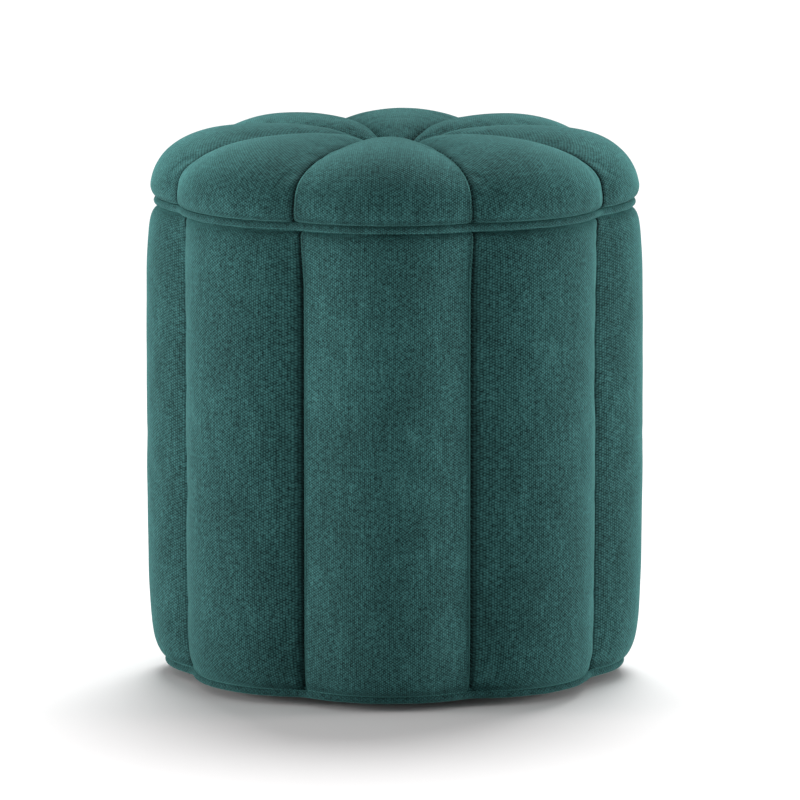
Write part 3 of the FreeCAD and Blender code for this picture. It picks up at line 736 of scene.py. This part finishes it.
class OTTOMAN_OT_lobes(bpy.types.Operator):
    """Make the eight fabric lobes of the drum and the foam inside them"""
    bl_idname = "ottoman.lobes"
    bl_label = "Drum lobes"

    def execute(self, context):
        size = sizes()
        lines = lobe_lines()
        arcs = (CREST, CREST - size.lobe_valley)

        def drawn(share):
            return size.seam_depth * min(1.0, max(0.1, (0.93 - share) * 12.0))

        first = panel("lobe", lines, arcs, 80, 40, 1, drawn, size.foot_fold)
        puff(first, size.swell, LOBE_CAP, 0.012)
        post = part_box("post_3")[1].x + 0.4 * MM
        low, high = BASE_BOARD[1].z + 0.2 * MM, RIM[0].z - 0.2 * MM
        back = [(post, high - 16 * MM), (DRUM[1].x + 0.4 * MM, high - 16 * MM),
                (DRUM[1].x + 0.4 * MM, low), (post, low)]
        body_lines = [[(r, min(max(z, low), high)) for r, z in line] for line in lines]
        foam = foam_block("lobe_foam", body_lines, arcs, back)
        for number in range(LOBES):
            lobe = numbered(first, "drum_lobe", number, 0.55 * MM)
            finish_panel(lobe, "drum", f"side_panel_{number + 1}")
            block = numbered(foam, "drum_foam", number, 0.0)
            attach(block, "drum")
            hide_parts(f"side_pad_{number + 1}")
        bpy.data.objects.remove(first)
        bpy.data.objects.remove(foam)
        return {"FINISHED"}


class OTTOMAN_OT_petals(bpy.types.Operator):
    """Make the eight fabric petals of the lid and the foam under them"""
    bl_idname = "ottoman.petals"
    bl_label = "Lid petals"

    def execute(self, context):
        size = sizes()
        lines = petal_lines()
        arcs = (lines[0][11][0], lines[1][11][0])

        def drawn(share):
            return size.seam_depth * min(0.8, max(0.2, (0.90 - share) * 2.4))

        first = panel("petal", lines, arcs, 62, 40, -1, drawn, size.lid_fold)
        puff(first, size.swell, PETAL_CAP, 0.014)
        board = LID_BOARD[1].z + 0.2 * MM
        foam_lines = [[(r, max(z, board + 0.2 * MM)) for r, z in line] for line in lines]
        foam = foam_block("petal_foam", foam_lines, arcs,
                          [(foam_lines[1][-1][0] - 10 * MM, board), (4.2 * MM, board)])
        whole = bmesh.new()
        for number in range(LOBES):
            petal = numbered(first, "lid_petal", number, 0.6 * MM, size.lid_turn)
            finish_panel(petal, "lid", f"lid_panel_{number + 1}")
            turned = foam.data.copy()
            turned.transform(Matrix.Rotation(-math.pi / 2 + 2 * HALF * number + size.lid_turn,
                                             4, "Z"))
            whole.from_mesh(turned)
            bpy.data.meshes.remove(turned)
        cushion = to_object(whole, "lid_cushion", bpy.data.materials["cut_foam"])
        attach(cushion, "lid")
        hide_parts("lid_foam")
        bpy.data.objects.remove(first)
        bpy.data.objects.remove(foam)
        return {"FINISHED"}


# ---------------------------------------------------------------------------------------------
# Trim
# ---------------------------------------------------------------------------------------------
def covered_cord(name, box, valley_depth, body, slimmer=0.0, askew=0.0):
    """A cord in fabric, its cover sewn shut behind it, round a scalloped edge."""
    radius = (box[1].z - box[0].z) / 2 - slimmer
    level = (box[1].z + box[0].z) / 2 + slimmer * 0.8
    crest = box[1].x - radius
    count, steps = 16, LOBES * 30
    ring = [Vector((crest + radius * math.cos(TURN * k / count),
                    level + radius * math.sin(TURN * k / count), 0)) for k in range(count)]
    work = spun(ring + [ring[0]], TURN, steps, closed=True)
    bmesh.ops.remove_doubles(work, verts=work.verts, dist=1e-6)
    work.verts.index_update()
    across, along = {}, {}
    for vert in work.verts:
        angle = math.atan2(vert.co.y, vert.co.x)
        reach = math.hypot(vert.co.x, vert.co.y)
        turned = math.atan2(vert.co.z - level, reach - crest)
        moved = reach - crest + outline(angle, crest, crest - valley_depth, 0.10)
        wander = 0.25 * MM * noise.noise(Vector((math.cos(angle), math.sin(angle), 0)) * 9)
        vert.co = Vector((math.cos(angle) * moved, math.sin(angle) * moved, vert.co.z + wander))
        across[vert.index] = angle * crest
        along[vert.index] = (turned % TURN) * radius
    map_cloth(work, across, along)
    unwrap_step(work, TURN * crest)
    for face in work.faces:
        layer = work.loops.layers.uv["Cloth"]
        low = min(loop[layer].uv.y for loop in face.loops)
        for loop in face.loops:
            if loop[layer].uv.y - low > math.pi * radius:
                loop[layer].uv.y -= TURN * radius
    bmesh.ops.recalc_face_normals(work, faces=work.faces)
    bmesh.ops.rotate(work, cent=(0, 0, 0), verts=work.verts,
                     matrix=Matrix.Rotation(askew, 3, "Z"))
    piece = to_object(work, name, bpy.data.materials["chenille_cord_painted_shade"])
    modifier(piece, "SUBSURF", levels=1, render_levels=1)
    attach(piece, body)
    return piece


class OTTOMAN_OT_cords(bpy.types.Operator):
    """Make the covered cords along the lid's edge and along the drum's foot"""
    bl_idname = "ottoman.cords"
    bl_label = "Covered cords"

    def execute(self, context):
        lid = covered_cord("lid_cord", LID_CORD, LID_VALLEY, "lid", 0.6 * MM, sizes().lid_turn)
        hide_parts("lid_piping")
        foot = covered_cord("foot_cord", BASE_CORD, BASE_VALLEY, "drum")
        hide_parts("base_piping")
        return {"FINISHED"}


def turned_fabric(name, line, arcs, gathers, sag):
    """A ring of fabric turned over an edge, its outer rows scalloped and its inner rows gathered.

    line is (radius, height, how much of the scallop the row follows, 0 to 1).
    """
    crest, valley = arcs
    rows = [Vector((r, z, 0)) for r, z, _ in line]
    follow = [part for _, _, part in line]
    work = spun(rows, TURN, LOBES * 24, closed=True)
    row = work.verts.layers.float["row"]
    seam = work.verts.layers.float.new("seam")
    work.verts.index_update()
    across, along = {}, {}
    for vert in work.verts:
        number = int(round(vert[row]))
        angle = math.atan2(vert.co.y, vert.co.x)
        reach = math.hypot(vert.co.x, vert.co.y)
        reach += follow[number] * (outline(angle, crest, valley, 0.06) - crest)
        free = 1.0 - follow[number]
        fold = math.sin(angle * gathers + 2.0 * noise.noise(Vector((angle * 6, 0, 0))))
        lift = sag * free * max(0.0, fold) ** 2
        vert.co = Vector((math.cos(angle) * reach, math.sin(angle) * reach, vert.co.z - lift))
        vert[seam] = 0.02
        across[vert.index] = angle * crest
        along[vert.index] = sum((rows[k + 1] - rows[k]).length for k in range(number))
    map_cloth(work, across, along)
    unwrap_step(work, TURN * crest)
    return to_object(work, name, bpy.data.materials["chenille_trim"])


def staples(name, radius, level, body):
    """Staples in a ring, crowns a hair off the fabric, each set a little askew."""
    size = sizes()
    work = bmesh.new()
    for number in range(STAPLE_COUNT):
        angle = TURN * (number + 0.5) / STAPLE_COUNT
        askew = 0.5 * noise.noise(Vector((number * 1.7, radius * 40, 0)))
        where = (Matrix.Rotation(angle, 4, "Z") @ Matrix.Translation((radius, 0, level))
                 @ Matrix.Rotation(askew, 4, "Z"))
        crown = bmesh.ops.create_cube(work, size=1.0)["verts"]
        bmesh.ops.scale(work, vec=(0.9 * MM, size.staple, 0.5 * MM), verts=crown)
        bmesh.ops.transform(work, matrix=where, verts=crown)
    bmesh.ops.bevel(work, geom=work.edges[:], offset=0.12 * MM, segments=1, profile=0.5,
                    affect="EDGES", material=-1)
    piece = to_object(work, name, bpy.data.materials["zinc_plate"])
    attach(piece, body)
    return piece


class OTTOMAN_OT_turnings(bpy.types.Operator):
    """Make the fabric turned over the rim and under the boards, with its staples"""
    bl_idname = "ottoman.turnings"
    bl_label = "Turned fabric and staples"

    def execute(self, context):
        inner = -LINER[0].x
        rim_top = RIM[1].z
        arcs = (CREST - 26 * MM, CREST - 36 * MM)
        rim = turned_fabric("rim_cover", [
            (arcs[0], rim_top - 0.6 * MM, 1.0), (arcs[0] - 1.5 * MM, rim_top - 0.1 * MM, 1.0),
            (arcs[0] - 5 * MM, rim_top, 0.9), (arcs[0] - 12 * MM, rim_top, 0.6),
            (inner + 7 * MM, rim_top, 0.1), (inner + 2 * MM, rim_top - 0.1 * MM, 0.0),
            (inner - 0.4 * MM, rim_top - 0.6 * MM, 0.0),
            (inner - 1.2 * MM, rim_top - 2.0 * MM, 0.0),
            (inner - 1.3 * MM, rim_top - 12.0 * MM, 0.0)], arcs, 96, 0.25 * MM)
        modifier(rim, "SOLIDIFY", thickness=0.9 * MM, offset=-1.0)
        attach(rim, "drum")
        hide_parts("rim_band")

        under = BASE_BOARD[0].z
        edge = BASE_BOARD[1].x
        base_arcs = (edge + 1.2 * MM, edge + 1.2 * MM - BASE_VALLEY)
        hem = turned_fabric("base_turning", [
            (base_arcs[0], BASE_BOARD[1].z - 0.5 * MM, 1.0),
            (base_arcs[0], BASE_BOARD[1].z - 5.5 * MM, 1.0),
            (base_arcs[0] - 1.0 * MM, under - 0.2 * MM, 1.0),
            (base_arcs[0] - 8.0 * MM, under - 0.4 * MM, 0.9),
            (base_arcs[0] - 24.0 * MM, under - 0.5 * MM, 0.5),
            (base_arcs[0] - 44.0 * MM, under - 0.5 * MM, 0.0)], base_arcs, 128, 1.0 * MM)
        modifier(hem, "SOLIDIFY", thickness=0.6 * MM, offset=0.0)
        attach(hem, "drum")
        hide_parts("base_hem", "base_band")
        staples("base_staples", DRUM[1].x - 7 * MM, under - 2.2 * MM, "drum")

        lid_under = LID_BOARD[0].z
        lid_edge = LID_BOARD[1].x
        lid_arcs = (lid_edge, lid_edge - LID_VALLEY)
        disc = LINED_DISC[1].x
        board_top = LID_BOARD[1].z
        lid_hem = turned_fabric("lid_turning", [
            (lid_arcs[0] - 6.0 * MM, board_top + 0.4 * MM, 1.0),
            (lid_arcs[0] + 0.3 * MM, board_top + 0.3 * MM, 1.0),
            (lid_arcs[0] + 0.4 * MM, board_top - 1.0 * MM, 1.0),
            (lid_arcs[0] + 0.4 * MM, lid_under + 3.0 * MM, 1.0),
            (lid_arcs[0], lid_under - 0.2 * MM, 1.0),
            (lid_arcs[0] - 8.0 * MM, lid_under - 0.5 * MM, 0.9),
            (lid_arcs[0] - 26.0 * MM, lid_under - 0.5 * MM, 0.4),
            (disc + 2.0 * MM, lid_under - 0.5 * MM, 0.0)], lid_arcs, 128, 0.6 * MM)
        modifier(lid_hem, "SOLIDIFY", thickness=0.5 * MM, offset=0.0)
        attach(lid_hem, "lid")
        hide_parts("lid_hem")
        staples("lid_staples", disc + 9 * MM, lid_under - 1.1 * MM, "lid")
        return {"FINISHED"}


class OTTOMAN_OT_button(bpy.types.Operator):
    """Make the covered button in the lid's dimple"""
    bl_idname = "ottoman.button"
    bl_label = "Covered button"

    def execute(self, context):
        low, high, edge = BUTTON[0].z, BUTTON[1].z, BUTTON[1].x
        rows, pleats = 16, 24
        line, _ = smooth_line([(0.2 * MM, high), (edge * 0.45, high - 0.5 * MM),
                               (edge * 0.82, high - 2.2 * MM), (edge, high - 5.0 * MM),
                               (edge * 0.9, low + 0.6 * MM), (edge * 0.5, low + 0.1 * MM)], rows)
        work = spun(line, TURN, 2 * pleats, closed=True)
        work.verts.index_update()
        row = work.verts.layers.float["row"]
        across, along = {}, {}
        for vert in work.verts:
            angle = math.atan2(vert.co.y, vert.co.x)
            crimp = max(0.0, vert[row] / (rows - 1) - 0.45) * 0.35 * MM
            vert.co.xy *= 1.0 + crimp / edge * math.sin(pleats * angle)
            across[vert.index], along[vert.index] = vert.co.x, vert.co.y
        map_cloth(work, across, along)
        bmesh.ops.holes_fill(work, edges=[e for e in work.edges if e.is_boundary], sides=0)
        bmesh.ops.recalc_face_normals(work, faces=work.faces)
        button = to_object(work, "covered_button", bpy.data.materials["chenille_trim"])
        modifier(button, "SUBSURF", levels=1, render_levels=1)
        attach(button, "lid")
        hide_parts("tuft_button")
        return {"FINISHED"}


# ---------------------------------------------------------------------------------------------
# Finishes and studio
# ---------------------------------------------------------------------------------------------
class OTTOMAN_OT_finishes(bpy.types.Operator):
    """Make the materials and give them to the frame, boards and hardware"""
    bl_idname = "ottoman.finishes"
    bl_label = "Finishes"

    def execute(self, context):
        tint = colours()
        upholstery("chenille", True)
        upholstery("chenille_trim", False)
        # the cords get the same chenille darkened to 0.86: painted shade
        upholstery("chenille_cord_painted_shade", False, 0.86)
        open_foam("cut_foam", tint.foam)
        plated("zinc_plate", tint.zinc)
        by_slot = {
            "board": plywood("birch_ply", tint.board, 0.5),
            "fibreboard": pressed_board("bent_fibreboard", tint.fibreboard),
            "post_wood": pine_wood("sawn_pine", tint.pine),
            "lining": nonwoven("grey_lining", tint.lining, 2.2 * MM),
            "dust_cloth": nonwoven("black_dust_cloth", tint.dust, 1.7 * MM),
            "nylon": moulded("black_nylon", tint.nylon),
            "zinc_steel": bpy.data.materials["zinc_plate"],
            "twine": twisted("waxed_twine", tint.twine),
            "foam": bpy.data.materials["cut_foam"],
            "upholstery": bpy.data.materials["chenille_trim"],
            "piping": bpy.data.materials["chenille_trim"],
        }
        for part in frame["record"]["subparts"]:
            node = frame["nodes"][part["node"]]
            material = by_slot[part["material_slot"]]
            node.data.materials.clear()
            node.data.materials.append(material)
        return {"FINISHED"}


def area_light(name, place, target, size, power, shade):
    lamp = bpy.data.lights.new(name, "AREA")
    lamp.shape = "RECTANGLE"
    lamp.size, lamp.size_y = size
    lamp.energy = power
    lamp.color = shade
    holder = bpy.data.objects.new(name, lamp)
    holder.location = place
    holder.rotation_euler = (Vector(target) - Vector(place)).to_track_quat("-Z", "Y").to_euler()
    bpy.context.scene.collection.objects.link(holder)
    return holder


class OTTOMAN_OT_studio(bpy.types.Operator):
    """Make the floor, the soft lights and the camera"""
    bl_idname = "ottoman.studio"
    bl_label = "Studio"

    def execute(self, context):
        scene = context.scene
        scene.view_settings.view_transform = "Standard"
        work = bmesh.new()
        bmesh.ops.create_circle(work, cap_ends=True, segments=96, radius=40.0)
        floor = to_object(work, "studio_floor", matt_floor("studio_paper", colours().floor))

        world = bpy.data.worlds.new("studio_air")
        world.use_nodes = True
        sky = world.node_tree.nodes["Background"]
        sky.inputs["Color"].default_value = (1.0, 1.0, 1.0, 1.0)
        sky.inputs["Strength"].default_value = 0.385
        scene.world = world

        aim = (0.0, 0.0, 0.24)
        top = bpy.data.lights.new("overhead", "SUN")
        top.energy = 2.95
        top.angle = math.radians(38.0)
        holder = bpy.data.objects.new("overhead", top)
        falling = Vector((-0.08, -0.62, -1.0))
        holder.rotation_euler = falling.to_track_quat("-Z", "Y").to_euler()
        scene.collection.objects.link(holder)
        warm = (1.0, 0.89, 0.89)
        area_light("left_strip", (-2.3, -0.4, 0.36), aim, (0.9, 0.68), 36.0, warm)
        area_light("right_strip", (2.3, 0.1, 0.36), aim, (0.8, 0.68), 27.0, warm)

        lens = bpy.data.cameras.new("view")
        lens.lens = 356.1
        lens.sensor_width = 36.0
        lens.shift_x = 0.0068
        lens.shift_y = -0.0014
        lens.clip_end = 200.0
        eye = bpy.data.objects.new("view", lens)
        eye.location = (0.2349, -6.4214, 1.2064)
        ahead = Vector((-0.03614, 0.98791, -0.15079))
        eye.rotation_euler = ahead.to_track_quat("-Z", "Y").to_euler()
        scene.collection.objects.link(eye)
        scene.camera = eye
        return {"FINISHED"}


class OTTOMAN_PT_panel(bpy.types.Panel):
    """Sizes, colours and makers of the ottoman"""
    bl_idname = "OTTOMAN_PT_panel"
    bl_label = "Scalloped Ottoman"
    bl_space_type = "VIEW_3D"
    bl_region_type = "UI"
    bl_category = "Ottoman"

    def draw(self, context):
        layout = self.layout
        for group in (context.scene.ottoman_sizes, context.scene.ottoman_colours):
            box = layout.box()
            for name in group.__annotations__:
                box.prop(group, name)
        for maker in MAKERS:
            layout.operator(maker.bl_idname)


MAKERS = (OTTOMAN_OT_studio, OTTOMAN_OT_finishes, OTTOMAN_OT_lobes, OTTOMAN_OT_petals,
          OTTOMAN_OT_cords, OTTOMAN_OT_turnings, OTTOMAN_OT_button)
CLASSES = (OttomanSizes, OttomanColours) + MAKERS + (OTTOMAN_PT_panel,)


def register():
    for each in CLASSES:
        bpy.utils.register_class(each)
    bpy.types.Scene.ottoman_sizes = bpy.props.PointerProperty(type=OttomanSizes)
    bpy.types.Scene.ottoman_colours = bpy.props.PointerProperty(type=OttomanColours)


def unregister():
    del bpy.types.Scene.ottoman_colours
    del bpy.types.Scene.ottoman_sizes
    for each in reversed(CLASSES):
        bpy.utils.unregister_class(each)


def main():
    register()
    bpy.ops.ottoman.studio()
    bpy.ops.ottoman.finishes()
    bpy.ops.ottoman.lobes()
    bpy.ops.ottoman.petals()
    bpy.ops.ottoman.cords()
    bpy.ops.ottoman.turnings()
    bpy.ops.ottoman.button()


if __name__ == "__main__":
    main()
